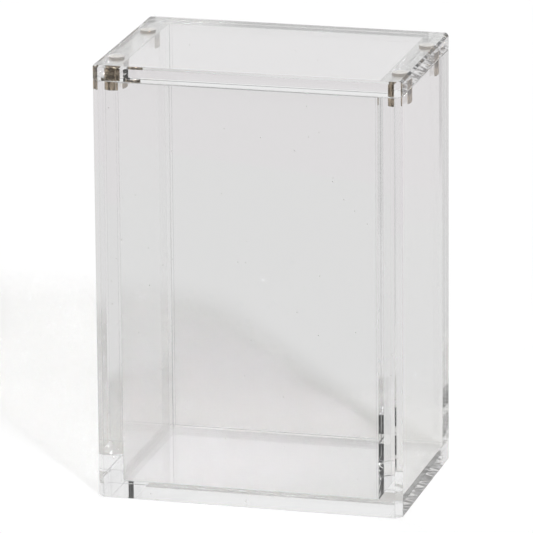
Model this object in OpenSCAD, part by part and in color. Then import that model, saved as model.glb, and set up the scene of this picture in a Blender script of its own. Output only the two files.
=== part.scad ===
// Clear display case for sealed packs and boxed sets of trading cards.
// Five clear panels are bonded into an open-topped case, and a loose lid is held on it
// by four pairs of round magnets. Units are millimetres and +Z is up.
// The origin is at the middle of the underside of the base plate, and the front faces -Y.

/* [Space inside] */
// Clear width between the two side walls
inner_w = 84; // [50:1:200]
// Clear depth between the front and back panels
inner_d = 59; // [46:1:150]
// Clear height from the base plate to the tops of the walls
inner_h = 132; // [40:1:300]

/* [Panels] */
// Thickness of each side wall
side_t = 8; // [7:0.5:12]
// Thickness of the front and back panels
face_t = 4; // [3:0.5:8]
// Thickness of the base plate
base_t = 5; // [3:0.5:12]
// Thickness of the lid plate
lid_t = 5; // [4:0.5:12]

/* [Edges] */
// Width of the flat cut down each outer upright corner
corner_cut = 2.1; // [0.3:0.1:2.4]
// Width of the flat cut along the lid's upper edges
lid_edge_cut = 0.7; // [0.2:0.1:1]
// Width of the flat cut along the lid's lower edges
seat_edge_cut = 0.3; // [0.1:0.1:0.5]

/* [Magnets] */
// Diameter of each magnet
magnet_d = 5; // [3:0.5:5]
// Height of each magnet in the lid
lid_magnet_h = 2.5; // [1.5:0.5:3]
// Height of each magnet in the walls
wall_magnet_h = 5; // [2:0.5:12]
// Distance from the front or back face to the middle of a magnet
magnet_inset = 15.5; // [6:0.5:20]
// Gap round the side of a magnet in its pocket
pocket_gap = 0.05; // [0.02:0.01:0.1]
// Gap between the end of a magnet and the end of its pocket
pocket_end_gap = 0.1; // [0.05:0.05:0.3]
// How far each magnet stands out of its pocket, so that the lid rests on the magnets
magnet_proud = 0.05; // [0.02:0.01:0.15]

/* [Hidden] */

$fn = 64;

// Outside size of the case
case_w = inner_w + 2 * side_t;
case_d = inner_d + 2 * face_t;

// Heights of the faces that meet
wall_top = base_t + inner_h;
lid_bottom = wall_top + 2 * magnet_proud;
magnet_meet = wall_top + magnet_proud;

// Magnets sit in the middle of the side walls
magnet_x = inner_w / 2 + side_t / 2;
magnet_y = case_d / 2 - magnet_inset;

left = -1;
right = 1;
front = -1;
back = 1;

// How far a cutting shape runs past the face that it opens
overcut = 1;

clear_acrylic = [0.86, 0.88, 0.9, 0.35];
nickel = [0.62, 0.6, 0.57];

// Rectangle about the origin with its four corners cut at 45 degrees
module cut_rectangle(w, d, cut) {
    polygon([
        [-w / 2 + cut, -d / 2],
        [w / 2 - cut, -d / 2],
        [w / 2, -d / 2 + cut],
        [w / 2, d / 2 - cut],
        [w / 2 - cut, d / 2],
        [-w / 2 + cut, d / 2],
        [-w / 2, d / 2 - cut],
        [-w / 2, -d / 2 + cut]
    ]);
}

// Outline of the lid seen along one edge, w wide, with its upper and lower edges cut
module lid_section(w) {
    polygon([
        [-w / 2 + seat_edge_cut, 0],
        [w / 2 - seat_edge_cut, 0],
        [w / 2, seat_edge_cut],
        [w / 2, lid_t - lid_edge_cut],
        [w / 2 - lid_edge_cut, lid_t],
        [-w / 2 + lid_edge_cut, lid_t],
        [-w / 2, lid_t - lid_edge_cut],
        [-w / 2, seat_edge_cut]
    ]);
}

// Blind hole for a magnet of height h, opening along +Z at z = 0
module magnet_pocket(h) {
    depth = h - magnet_proud + pocket_end_gap;
    translate([0, 0, -depth])
        cylinder(d = magnet_d + 2 * pocket_gap, h = depth + overcut);
}

module base_plate() {
    color(clear_acrylic)
        linear_extrude(base_t)
            cut_rectangle(case_w, case_d, corner_cut);
}

// Side wall standing on the base plate, with its two outer corners cut
module side_wall(side) {
    color(clear_acrylic)
        difference() {
            translate([0, 0, base_t])
                linear_extrude(inner_h)
                    intersection() {
                        cut_rectangle(case_w, case_d, corner_cut);
                        translate([side * (inner_w + side_t) / 2, 0])
                            square([side_t, case_d], center = true);
                    }
            for (end = [front, back])
                translate([side * magnet_x, end * magnet_y, wall_top])
                    magnet_pocket(wall_magnet_h);
        }
}

// Front or back panel, held between the side walls and flush with their ends
module face_panel(end) {
    color(clear_acrylic)
        translate([-inner_w / 2, end * (inner_d + face_t) / 2 - face_t / 2, base_t])
            cube([inner_w, face_t, inner_h]);
}

module lid_plate() {
    color(clear_acrylic)
        translate([0, 0, lid_bottom])
            difference() {
                intersection() {
                    linear_extrude(lid_t)
                        cut_rectangle(case_w, case_d, corner_cut);
                    rotate([90, 0, 0])
                        linear_extrude(case_d + 2 * overcut, center = true)
                            lid_section(case_w);
                    rotate([90, 0, 90])
                        linear_extrude(case_w + 2 * overcut, center = true)
                            lid_section(case_d);
                }
                for (side = [left, right], end = [front, back])
                    translate([side * magnet_x, end * magnet_y, 0])
                        mirror([0, 0, 1])
                            magnet_pocket(lid_magnet_h);
            }
}

// Round magnet of height h whose lower face is at height z
module magnet(side, end, z, h) {
    color(nickel)
        translate([side * magnet_x, end * magnet_y, z])
            cylinder(d = magnet_d, h = h);
}

module wall_magnet(side, end) {
    magnet(side, end, magnet_meet - wall_magnet_h, wall_magnet_h);
}

module lid_magnet(side, end) {
    magnet(side, end, magnet_meet, lid_magnet_h);
}

base_plate();
side_wall(left);  // left_wall
side_wall(right);  // right_wall
face_panel(front);  // front_panel
face_panel(back);  // back_panel
lid_plate();
wall_magnet(left, front);  // wall_magnet_front_left
wall_magnet(right, front);  // wall_magnet_front_right
wall_magnet(left, back);  // wall_magnet_back_left
wall_magnet(right, back);  // wall_magnet_back_right
lid_magnet(left, front);  // lid_magnet_front_left
lid_magnet(right, front);  // lid_magnet_front_right
lid_magnet(left, back);  // lid_magnet_back_left
lid_magnet(right, back);  // lid_magnet_back_right
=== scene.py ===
"""Looks of the clear display case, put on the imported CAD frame.

The plates keep their CAD shapes. Modifiers break their sharp edges, and their clear plastic
lets light run straight on through the cemented joints. The studio is white to the camera.
Light that the plastic or a magnet mirrors also meets a darker room in front of the case.
Lengths are in metres.
"""
import math

import bpy
from mathutils import Matrix, Vector


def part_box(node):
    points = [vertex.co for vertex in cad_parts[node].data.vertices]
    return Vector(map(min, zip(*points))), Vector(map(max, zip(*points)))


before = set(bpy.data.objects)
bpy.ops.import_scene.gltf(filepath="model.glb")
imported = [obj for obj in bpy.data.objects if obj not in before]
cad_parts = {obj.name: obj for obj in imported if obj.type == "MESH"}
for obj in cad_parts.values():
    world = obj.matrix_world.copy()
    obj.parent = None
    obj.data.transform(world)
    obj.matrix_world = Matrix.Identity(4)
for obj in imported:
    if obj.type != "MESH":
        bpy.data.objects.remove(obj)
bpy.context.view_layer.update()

# The camera of the photograph: angles in degrees, lengths in metres
CAMERA_AZIMUTH = 14.985
CAMERA_ELEVATION = 15.961
CAMERA_ROLL = -0.471
CAMERA_DISTANCE = 2.0534
CAMERA_SHIFT_RIGHT = 0.00234
CAMERA_SHIFT_UP = 0.000816
CAMERA_AIM_HEIGHT = 0.071165
PHOTO_PIXELS = 533
FOCAL_PIXELS = 6425
SENSOR_WIDTH = 36

# Places on the case
WALLS = ("left_wall", "right_wall")
PANELS = ("front_panel", "back_panel")
MAGNETS = [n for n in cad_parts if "magnet" in n]
BASE_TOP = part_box("base_plate")[1].z
INNER_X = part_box("right_wall")[0].x
SIDE_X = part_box("right_wall")[1].x
INNER_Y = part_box("back_panel")[0].y
SIDE_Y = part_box("back_panel")[1].y
MAGNET_LOW, MAGNET_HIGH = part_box("wall_magnet_back_right")
POCKET_X = (MAGNET_LOW.x + MAGNET_HIGH.x) / 2
POCKET_Y = (MAGNET_LOW.y + MAGNET_HIGH.y) / 2
POCKET_GAP = 0.00005
POCKET_RADIUS = (MAGNET_HIGH.x - MAGNET_LOW.x) / 2 + POCKET_GAP

# How far from a place a point may lie and still count as on it
TOUCH = 0.00001
GLUE_RING = 0.00002

# Broken edges
PLATE_EDGE = 0.00015
MAGNET_EDGE = 0.0003
EDGE_SEGMENTS = 2
EDGE_ANGLE = math.radians(30)
WELD_GAP = 0.000001

# Surface of the plastic. A scale is the number of cells in a metre
PLASTIC_IOR = 1.49
RIPPLE_SCALE = 14.0
RIPPLE_DEPTH = 0.0000015
SMUDGE_SCALE = 60.0
SMUDGE_LEVELS = (0.5, 0.8)
SMUDGE_ROUGHNESS = 0.03
DUST_SCALE = 250.0
DUST_RADII = (0.04, 0.09)
DUST_BARE_SHARE = 0.75
DUST_ROUGHNESS = 0.3
SAW_PITCH = 0.00306
SAW_SLANT = 0.34
SAW_DEPTHS = {"base": 0.00004, "lid": 0.00003}
SCRAPE_SCALE = 150.0
SCRAPE_STRENGTH = 0.02
SCRAPE_DEPTH = 0.00005
SCRAPE_LEVELS = (0.3, 0.7)
SCRAPE_ROUGHNESS = (0.05, 0.2)

# Tones of the plastic
CLEAR_TINT = (0.985, 0.988, 0.988, 1.0)
ENDWAYS_TINT = (0.958, 0.960, 0.962, 1.0)
DUST_TINT = (0.72, 0.71, 0.69, 1.0)
# Painted shade: the broken edges are tinted darker, in a mottled way, so that they show as dark
# lines
EDGE_PAINTED_SHADE_DEEP = (0.45, 0.46, 0.46, 1.0)
EDGE_PAINTED_SHADE_FAINT = (0.86, 0.87, 0.87, 1.0)

# Surface and tones of the magnets
GRAIN_SCALE = 1500.0
GRAIN_STRETCH = (1.0, 1.0, 0.15)
GRAIN_STRENGTH = 0.05
GRAIN_DEPTH = 0.00005
GRAIN_LEVELS = (0.3, 0.7)
GRAIN_ROUGHNESS = (0.14, 0.22)
STAIN_AND_HIGHLIGHT_SCALE = 450.0
END_FACING = (0.8, 0.95)
# Painted shade on the round side of a magnet, broken by tan painted highlights
SIDE_PAINTED_SHADE = (0.20, 0.16, 0.12, 1.0)
SIDE_PAINTED_HIGHLIGHT = (0.66, 0.55, 0.42, 1.0)
BRIGHT_END_DARK = (0.74, 0.69, 0.62, 1.0)
BRIGHT_END_LIGHT = (0.92, 0.89, 0.84, 1.0)

# The studio
FLOOR_SIZE = 12.0
FLOOR_GAP = 0.0002
FLOOR_TO_CAMERA = (1.0, 1.0, 1.0, 1.0)
FLOOR_FAR = (0.752, 0.735, 0.743, 1.0)
FLOOR_NEAR = (0.745, 0.742, 0.742, 1.0)
FLOOR_BEND = 0.3435
FLOOR_BEND_SLANT = 0.29
FLOOR_BEND_BLUR = 0.004
FLOOR_IN_FRONT = (0.66, 0.655, 0.655, 1.0)
# Painted light: the floor under and round the case is lighter, standing in for light that the
# clear case lets through into its shadow
FLOOR_PAINTED_LIGHT = (0.79, 0.783, 0.77, 1.0)
BEHIND_FRONT = (-0.05, -0.03)
PAINTED_LIGHT_X = (0.055, 0.13)
PAINTED_LIGHT_Y = (0.045, 0.13)
TABLE_EDGE = -0.56
TABLE_RIGHT = 0.35
TABLE_BLUR = 0.05
# Painted reflection: the floor beyond the table's front and right edges is near black, and only
# mirrored light meets it
MIRRORED_BEYOND_TABLE = (0.04, 0.04, 0.04, 1.0)
UNLIT_SHARE = 0.25
UNLIT_SHARE_CAMERA = 0.6
ROOM_BRIGHT = 0.85
ROOM_DARK = 0.06
ROOM_FRONT_LEFT = 0.85
ROOM_TOP = 1.0
ROOM_BELOW = FLOOR_FAR[0]
ROOM_TURN = 0.1
ROOM_BACK = (0.35, 0.65)
ROOM_CEILING = (0.55, 0.8)
ROOM_HORIZON = (-0.02, 0.0)
FRONT_LEFT_HEIGHTS = (0.32, 0.38)
FRONT_LEFT_SIDE = (-0.1, 0.1)
FRONT_LEFT_DEPTH = (-0.75, -0.6)
ROOM_LIGHT = 0.71
ROOM_LIGHT_TONE = (1.0, 0.994, 0.964, 1.0)
CARD_PLACE = -0.6
CARD_LEFT = -0.6
CARD_RIGHT = 0.1
CARD_TOP = 0.24
CARD_TONE = (0.02, 0.02, 0.02, 1.0)
KEY_FROM = (0.505, -0.649, 0.568)
KEY_ANGLE = math.radians(7)
KEY_STRENGTH = 1.7
KEY_TONE = (0.985, 0.99, 1.045)

# How often light may turn before it is dropped
BOUNCES = 32
CLEAR_BOUNCES = 48


def put(tree, kind, inputs=None, **settings):
    """Adds a shader node, makes its settings, and feeds its inputs with numbers or sockets."""
    made = tree.nodes.new("ShaderNode" + kind)
    for key, value in settings.items():
        setattr(made, key, value)
    for key, value in (inputs or {}).items():
        if isinstance(value, bpy.types.NodeSocket):
            tree.links.new(value, made.inputs[key])
        else:
            made.inputs[key].default_value = value
    return made


def calc(tree, operation, *values):
    """One Math node with the given numbers or sockets."""
    return put(tree, "Math", dict(enumerate(values)), operation=operation).outputs[0]


def blend_numbers(tree, share, first, second):
    """first where share is 0 and second where it is 1."""
    made = put(tree, "Mix", {0: share, 2: first, 3: second}, data_type="FLOAT")
    return made.outputs[0]


def blend_colours(tree, share, first, second):
    """The first colour where share is 0 and the second where it is 1."""
    made = put(tree, "Mix", {0: share, 6: first, 7: second}, data_type="RGBA")
    return made.outputs[2]


def ramp_number(tree, value, start, end, low, high):
    """low up to start, high from end on, and a smooth change between."""
    inputs = {"Value": value, "From Min": start, "From Max": end, "To Min": low, "To Max": high}
    made = put(tree, "MapRange", inputs, interpolation_type="SMOOTHSTEP")
    return made.outputs[0]


def new_material(name):
    material = bpy.data.materials.new(name)
    material.use_nodes = True
    material.node_tree.nodes.clear()
    return material, material.node_tree


def finish_material(tree, shader):
    put(tree, "OutputMaterial", {"Surface": shader})


def own_place(tree):
    """The x, y and z of a point on the object, as sockets."""
    place = put(tree, "TexCoord").outputs["Object"]
    return put(tree, "SeparateXYZ", {0: place}).outputs


def glued_pocket(tree, out_x, out_y):
    """1 on the round side of a magnet pocket, where glue joins the plastic to the magnet."""
    from_axis = calc(tree, "SUBTRACT", out_x, POCKET_X)
    along = calc(tree, "SUBTRACT", out_y, POCKET_Y)
    squares = (calc(tree, "POWER", from_axis, 2.0), calc(tree, "POWER", along, 2.0))
    radius = calc(tree, "SQRT", calc(tree, "ADD", *squares))
    off_ring = calc(tree, "ABSOLUTE", calc(tree, "SUBTRACT", radius, POCKET_RADIUS))
    return calc(tree, "LESS_THAN", off_ring, GLUE_RING)


def cemented(tree, kind):
    """1 on the part of a plate's faces that is cemented to another plate, and 0 elsewhere."""
    x, y, z = own_place(tree)
    out_x = calc(tree, "ABSOLUTE", x)
    out_y = calc(tree, "ABSOLUTE", y)
    on_base = calc(tree, "LESS_THAN", z, BASE_TOP + TOUCH)
    past_side = calc(tree, "GREATER_THAN", out_x, INNER_X)
    past_end = calc(tree, "GREATER_THAN", out_y, INNER_Y)
    pocket = glued_pocket(tree, out_x, out_y)
    if kind == "lid":
        return pocket
    if kind == "wall":
        at_side = calc(tree, "LESS_THAN", out_x, INNER_X + TOUCH)
        at_panel = calc(tree, "MINIMUM", at_side, past_end)
        return calc(tree, "MAXIMUM", calc(tree, "MAXIMUM", at_panel, on_base), pocket)
    if kind == "panel":
        at_wall = calc(tree, "GREATER_THAN", out_x, INNER_X - TOUCH)
        return calc(tree, "MAXIMUM", at_wall, on_base)
    at_top = calc(tree, "GREATER_THAN", z, BASE_TOP - TOUCH)
    under_walls = calc(tree, "MAXIMUM", past_side, past_end)
    return calc(tree, "MINIMUM", at_top, under_walls)


def saw_waves(tree, kind):
    """Shallow waves that the saw left across the right-hand faces of the base and the lid."""
    x, y, z = own_place(tree)
    slanted = calc(tree, "ADD", z, calc(tree, "MULTIPLY", y, SAW_SLANT))
    wave = calc(tree, "SINE", calc(tree, "MULTIPLY", slanted, math.tau / SAW_PITCH))
    on_side = calc(tree, "GREATER_THAN", x, SIDE_X - TOUCH)
    depth = SAW_DEPTHS.get(kind, 0.0)
    return calc(tree, "MULTIPLY", calc(tree, "MULTIPLY", wave, on_side), depth)


def depth_tint(tree, kind):
    """The tone of a clear face: a wall seen endways is darker, as light crosses more plastic."""
    if kind != "wall":
        return CLEAR_TINT
    x, y, z = own_place(tree)
    on_end = calc(tree, "GREATER_THAN", calc(tree, "ABSOLUTE", y), SIDE_Y - TOUCH)
    return blend_colours(tree, on_end, CLEAR_TINT, ENDWAYS_TINT)


def clear_plastic(tree, kind, tint, roughness, normal):
    """Clear plastic that lets light run straight on where a plate is cemented to another."""
    glass = put(tree, "BsdfPrincipled", {
        "Base Color": tint,
        "Roughness": roughness,
        "IOR": PLASTIC_IOR,
        "Transmission Weight": 1.0,
        "Normal": normal,
    }).outputs[0]
    clear = put(tree, "BsdfTransparent").outputs[0]
    inputs = {0: cemented(tree, kind), 1: glass, 2: clear}
    finish_material(tree, put(tree, "MixShader", inputs).outputs[0])


def acrylic(name, kind):
    """The polished faces: a very slight ripple, faint smudges and a few specks of dust."""
    material, tree = new_material(name)
    place = put(tree, "TexCoord").outputs["Object"]
    ripple = put(tree, "TexNoise", {"Vector": place, "Scale": RIPPLE_SCALE, "Detail": 0.0})
    height = calc(tree, "MULTIPLY", ripple.outputs[0], RIPPLE_DEPTH)
    height = calc(tree, "ADD", height, saw_waves(tree, kind))
    bump = put(tree, "Bump", {"Strength": 1.0, "Distance": 1.0, "Height": height})
    smudge = put(tree, "TexNoise", {"Vector": place, "Scale": SMUDGE_SCALE, "Detail": 6.0})
    haze = ramp_number(tree, smudge.outputs[0], *SMUDGE_LEVELS, 0.0, SMUDGE_ROUGHNESS)
    grit = put(tree, "TexVoronoi", {"Vector": place, "Scale": DUST_SCALE})
    near = ramp_number(tree, grit.outputs["Distance"], *DUST_RADII, 1.0, 0.0)
    chosen = put(tree, "SeparateXYZ", {0: grit.outputs["Color"]}).outputs[0]
    dust = calc(tree, "MULTIPLY", near, calc(tree, "GREATER_THAN", chosen, DUST_BARE_SHARE))
    roughness = calc(tree, "MAXIMUM", haze, calc(tree, "MULTIPLY", dust, DUST_ROUGHNESS))
    tint = blend_colours(tree, dust, depth_tint(tree, kind), DUST_TINT)
    clear_plastic(tree, kind, tint, roughness, bump.outputs[0])
    return material


def worn_and_shaded_edge(name, kind):
    """The broken edges, where scraping and handling have left the plastic slightly frosted. Their
    mottled darker tint is painted shade that draws the edges as dark lines.
    """
    material, tree = new_material(name)
    place = put(tree, "TexCoord").outputs["Object"]
    scrape_and_shade = put(tree, "TexNoise", {"Vector": place, "Scale": SCRAPE_SCALE, "Detail": 2.0})
    bump = put(tree, "Bump", {
        "Strength": SCRAPE_STRENGTH,
        "Distance": SCRAPE_DEPTH,
        "Height": scrape_and_shade.outputs[0],
    })
    roughness = ramp_number(tree, scrape_and_shade.outputs[0], *SCRAPE_LEVELS, *SCRAPE_ROUGHNESS)
    # Painted shade: a mottled darker tint that draws the broken edges as dark lines
    tint = blend_colours(tree, scrape_and_shade.outputs[0], EDGE_PAINTED_SHADE_DEEP, EDGE_PAINTED_SHADE_FAINT)
    clear_plastic(tree, kind, tint, roughness, bump.outputs[0])
    return material


def nickel(name):
    """Nickel plate, bright on the ends of a magnet, with painted shade and tan painted highlights
    round its side.
    """
    material, tree = new_material(name)
    place = put(tree, "TexCoord").outputs["Object"]
    drawn = put(tree, "VectorMath", {0: place, 1: GRAIN_STRETCH}, operation="MULTIPLY").outputs[0]
    grain = put(tree, "TexNoise", {"Vector": drawn, "Scale": GRAIN_SCALE, "Detail": 3.0})
    stain_and_highlight = put(tree, "TexNoise", {"Vector": place, "Scale": STAIN_AND_HIGHLIGHT_SCALE, "Detail": 2.0})
    facing = put(tree, "SeparateXYZ", {0: put(tree, "TexCoord").outputs["Normal"]}).outputs[2]
    on_end = ramp_number(tree, calc(tree, "ABSOLUTE", facing), *END_FACING, 0.0, 1.0)
    # Painted shade on the side, with tan painted highlights where the noise is high; on the ends
    # the same noise only varies the tone
    side = blend_colours(tree, stain_and_highlight.outputs[0], SIDE_PAINTED_SHADE, SIDE_PAINTED_HIGHLIGHT)
    end = blend_colours(tree, stain_and_highlight.outputs[0], BRIGHT_END_DARK, BRIGHT_END_LIGHT)
    tone = blend_colours(tree, on_end, side, end)
    rough = ramp_number(tree, grain.outputs[0], *GRAIN_LEVELS, *GRAIN_ROUGHNESS)
    bump = put(tree, "Bump", {
        "Strength": GRAIN_STRENGTH,
        "Distance": GRAIN_DEPTH,
        "Height": grain.outputs[0],
    })
    metal = put(tree, "BsdfPrincipled", {
        "Base Color": tone,
        "Metallic": 1.0,
        "Roughness": rough,
        "Normal": bump.outputs[0],
    }).outputs[0]
    finish_material(tree, metal)
    return material


def dress(name, materials, edge):
    """Gives a CAD node its materials and breaks its sharp edges, which take the last one."""
    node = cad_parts[name]
    node.data.materials.clear()
    for material in materials:
        node.data.materials.append(material)
    weld = node.modifiers.new("weld", "WELD")
    weld.merge_threshold = WELD_GAP
    bevel = node.modifiers.new("broken_edge", "BEVEL")
    bevel.width = edge
    bevel.segments = EDGE_SEGMENTS
    bevel.limit_method = "ANGLE"
    bevel.angle_limit = EDGE_ANGLE
    bevel.harden_normals = True
    bevel.material = len(materials) - 1


def dress_plate(name, kind):
    materials = (acrylic(name + "_acrylic", kind), worn_and_shaded_edge(name + "_edges", kind))
    dress(name, materials, PLATE_EDGE)


def make_camera():
    azimuth, elevation, roll = map(math.radians, (CAMERA_AZIMUTH, CAMERA_ELEVATION, CAMERA_ROLL))
    backward = Vector((
        math.sin(azimuth) * math.cos(elevation),
        -math.cos(azimuth) * math.cos(elevation),
        math.sin(elevation),
    ))
    level_right = (-backward).cross(Vector((0, 0, 1))).normalized()
    level_up = level_right.cross(-backward)
    right = math.cos(roll) * level_right + math.sin(roll) * level_up
    up = -math.sin(roll) * level_right + math.cos(roll) * level_up
    aim = Vector((0, 0, CAMERA_AIM_HEIGHT)) - CAMERA_SHIFT_RIGHT * right - CAMERA_SHIFT_UP * up
    place = aim + CAMERA_DISTANCE * backward
    camera = bpy.data.cameras.new("camera")
    camera.sensor_width = SENSOR_WIDTH
    camera.lens = FOCAL_PIXELS / PHOTO_PIXELS * SENSOR_WIDTH
    camera.clip_start = 0.01
    camera.clip_end = 100
    holder = bpy.data.objects.new("camera", camera)
    bpy.context.scene.collection.objects.link(holder)
    turn = Matrix((right, up, backward)).transposed().to_4x4()
    holder.matrix_world = Matrix.Translation(place) @ turn
    bpy.context.scene.camera = holder


def seen_straight(tree):
    """1 for light that reached the camera without a reflection on the way, and 0 for the rest."""
    return calc(tree, "LESS_THAN", put(tree, "LightPath").outputs["Glossy Depth"], 0.5)


def make_floor():
    half = FLOOR_SIZE / 2
    corners = [(-half, -half, 0), (half, -half, 0), (half, half, 0), (-half, half, 0)]
    mesh = bpy.data.meshes.new("floor")
    mesh.from_pydata(corners, [], [(0, 1, 2, 3)])
    floor = bpy.data.objects.new("floor", mesh)
    floor.location.z = -FLOOR_GAP
    bpy.context.scene.collection.objects.link(floor)
    material, tree = new_material("floor")
    x, y, z = own_place(tree)
    past_bend = calc(tree, "ADD", y, calc(tree, "MULTIPLY", x, FLOOR_BEND_SLANT))
    past_bend = calc(tree, "SUBTRACT", past_bend, FLOOR_BEND)
    far = ramp_number(tree, past_bend, -FLOOR_BEND_BLUR, FLOOR_BEND_BLUR, 0.0, 1.0)
    tone = blend_colours(tree, far, FLOOR_NEAR, FLOOR_FAR)
    behind = ramp_number(tree, y, *BEHIND_FRONT, 0.0, 1.0)
    tone = blend_colours(tree, behind, FLOOR_IN_FRONT, tone)
    front_edge = (TABLE_EDGE - TABLE_BLUR, TABLE_EDGE + TABLE_BLUR)
    right_end = (TABLE_RIGHT - TABLE_BLUR, TABLE_RIGHT + TABLE_BLUR)
    on_table = ramp_number(tree, y, *front_edge, 0.0, 1.0)
    left_of_end = ramp_number(tree, x, *right_end, 1.0, 0.0)
    on_table = calc(tree, "MULTIPLY", on_table, left_of_end)
    # Painted reflection: light seen straight always meets the table, so only mirrored light meets
    # the near-black floor beyond it
    on_table = calc(tree, "MAXIMUM", on_table, seen_straight(tree))
    tone = blend_colours(tree, on_table, MIRRORED_BEYOND_TABLE, tone)
    # Painted light: a lighter patch of floor under and round the case
    beside = ramp_number(tree, calc(tree, "ABSOLUTE", x), *PAINTED_LIGHT_X, 1.0, 0.0)
    close = ramp_number(tree, y, *PAINTED_LIGHT_Y, 1.0, 0.0)
    painted_light_patch = calc(tree, "MULTIPLY", behind, calc(tree, "MULTIPLY", beside, close))
    tone = blend_colours(tree, painted_light_patch, tone, FLOOR_PAINTED_LIGHT)
    rays = put(tree, "LightPath").outputs
    tone = blend_colours(tree, rays["Is Camera Ray"], tone, FLOOR_TO_CAMERA)
    paint = put(tree, "BsdfDiffuse", {"Color": tone}).outputs[0]
    lens = calc(tree, "MAXIMUM", rays["Is Glossy Ray"], rays["Is Transmission Ray"])
    unlit = blend_numbers(tree, lens, 0.0, UNLIT_SHARE)
    unlit = blend_numbers(tree, rays["Is Camera Ray"], unlit, UNLIT_SHARE_CAMERA)
    glow = put(tree, "Emission", {"Color": tone, "Strength": 1.0}).outputs[0]
    finish_material(tree, put(tree, "MixShader", {0: unlit, 1: paint, 2: glow}).outputs[0])
    mesh.materials.append(material)


def make_card():
    """A low black card in front, which only mirrored light meets, so that the edges show dark."""
    corners = [(CARD_LEFT, CARD_PLACE, 0), (CARD_RIGHT, CARD_PLACE, 0)]
    corners += [(CARD_RIGHT, CARD_PLACE, CARD_TOP), (CARD_LEFT, CARD_PLACE, CARD_TOP)]
    mesh = bpy.data.meshes.new("black_card")
    mesh.from_pydata(corners, [], [(0, 1, 2, 3)])
    card = bpy.data.objects.new("black_card", mesh)
    bpy.context.scene.collection.objects.link(card)
    card.visible_camera = False
    card.visible_diffuse = False
    card.visible_shadow = False
    material, tree = new_material("black_card")
    black = put(tree, "Emission", {"Color": CARD_TONE, "Strength": 1.0}).outputs[0]
    clear = put(tree, "BsdfTransparent").outputs[0]
    inputs = {0: seen_straight(tree), 1: black, 2: clear}
    finish_material(tree, put(tree, "MixShader", inputs).outputs[0])
    mesh.materials.append(material)


def make_world():
    world = bpy.data.worlds.new("studio")
    bpy.context.scene.world = world
    world.use_nodes = True
    tree = world.node_tree
    tree.nodes.clear()
    way = put(tree, "TexCoord").outputs["Generated"]
    x, y, z = put(tree, "SeparateXYZ", {0: way}).outputs
    towards = calc(tree, "SUBTRACT", y, calc(tree, "MULTIPLY", x, ROOM_TURN))
    walls = ramp_number(tree, towards, *ROOM_BACK, ROOM_DARK, ROOM_BRIGHT)
    low = ramp_number(tree, z, *FRONT_LEFT_HEIGHTS, ROOM_FRONT_LEFT, 0.0)
    left = ramp_number(tree, x, *FRONT_LEFT_SIDE, 1.0, 0.0)
    front = ramp_number(tree, y, *FRONT_LEFT_DEPTH, 1.0, 0.0)
    front_left = calc(tree, "MULTIPLY", low, calc(tree, "MULTIPLY", left, front))
    walls = calc(tree, "MAXIMUM", walls, front_left)
    walls = blend_numbers(tree, seen_straight(tree), walls, ROOM_BRIGHT)
    top = ramp_number(tree, z, *ROOM_CEILING, 0.0, ROOM_TOP)
    room = calc(tree, "MAXIMUM", walls, top)
    below = ramp_number(tree, z, *ROOM_HORIZON, 1.0, 0.0)
    room = blend_numbers(tree, below, room, ROOM_BELOW)
    rays = put(tree, "LightPath").outputs
    room = blend_numbers(tree, rays["Is Diffuse Ray"], room, ROOM_LIGHT)
    strength = blend_numbers(tree, rays["Is Camera Ray"], room, 1.0)
    tone = blend_colours(tree, rays["Is Diffuse Ray"], (1, 1, 1, 1), ROOM_LIGHT_TONE)
    sky = put(tree, "Background", {"Color": tone, "Strength": strength}).outputs[0]
    put(tree, "OutputWorld", {"Surface": sky})


def make_key():
    """A far softbox high on the front right, as wide in the sky as KEY_ANGLE."""
    lamp = bpy.data.lights.new("key", "SUN")
    lamp.energy = KEY_STRENGTH
    lamp.angle = KEY_ANGLE
    lamp.color = KEY_TONE
    holder = bpy.data.objects.new("key", lamp)
    bpy.context.scene.collection.objects.link(holder)
    holder.rotation_euler = (-Vector(KEY_FROM)).to_track_quat("-Z", "Y").to_euler()


def set_light_paths():
    scene = bpy.context.scene
    scene.view_settings.view_transform = "Standard"
    cycles = scene.cycles
    cycles.max_bounces = BOUNCES
    cycles.transmission_bounces = BOUNCES
    cycles.glossy_bounces = BOUNCES
    cycles.transparent_max_bounces = CLEAR_BOUNCES
    cycles.use_denoising = True
    cycles.sample_clamp_indirect = 0
    cycles.blur_glossy = 0


for name in WALLS:
    dress_plate(name, "wall")
for name in PANELS:
    dress_plate(name, "panel")
dress_plate("base_plate", "base")
dress_plate("lid_plate", "lid")
magnet_metal = nickel("nickel_plate")
for name in MAGNETS:
    dress(name, (magnet_metal,), MAGNET_EDGE)

make_camera()
make_floor()
make_card()
make_world()
make_key()
set_light_paths()
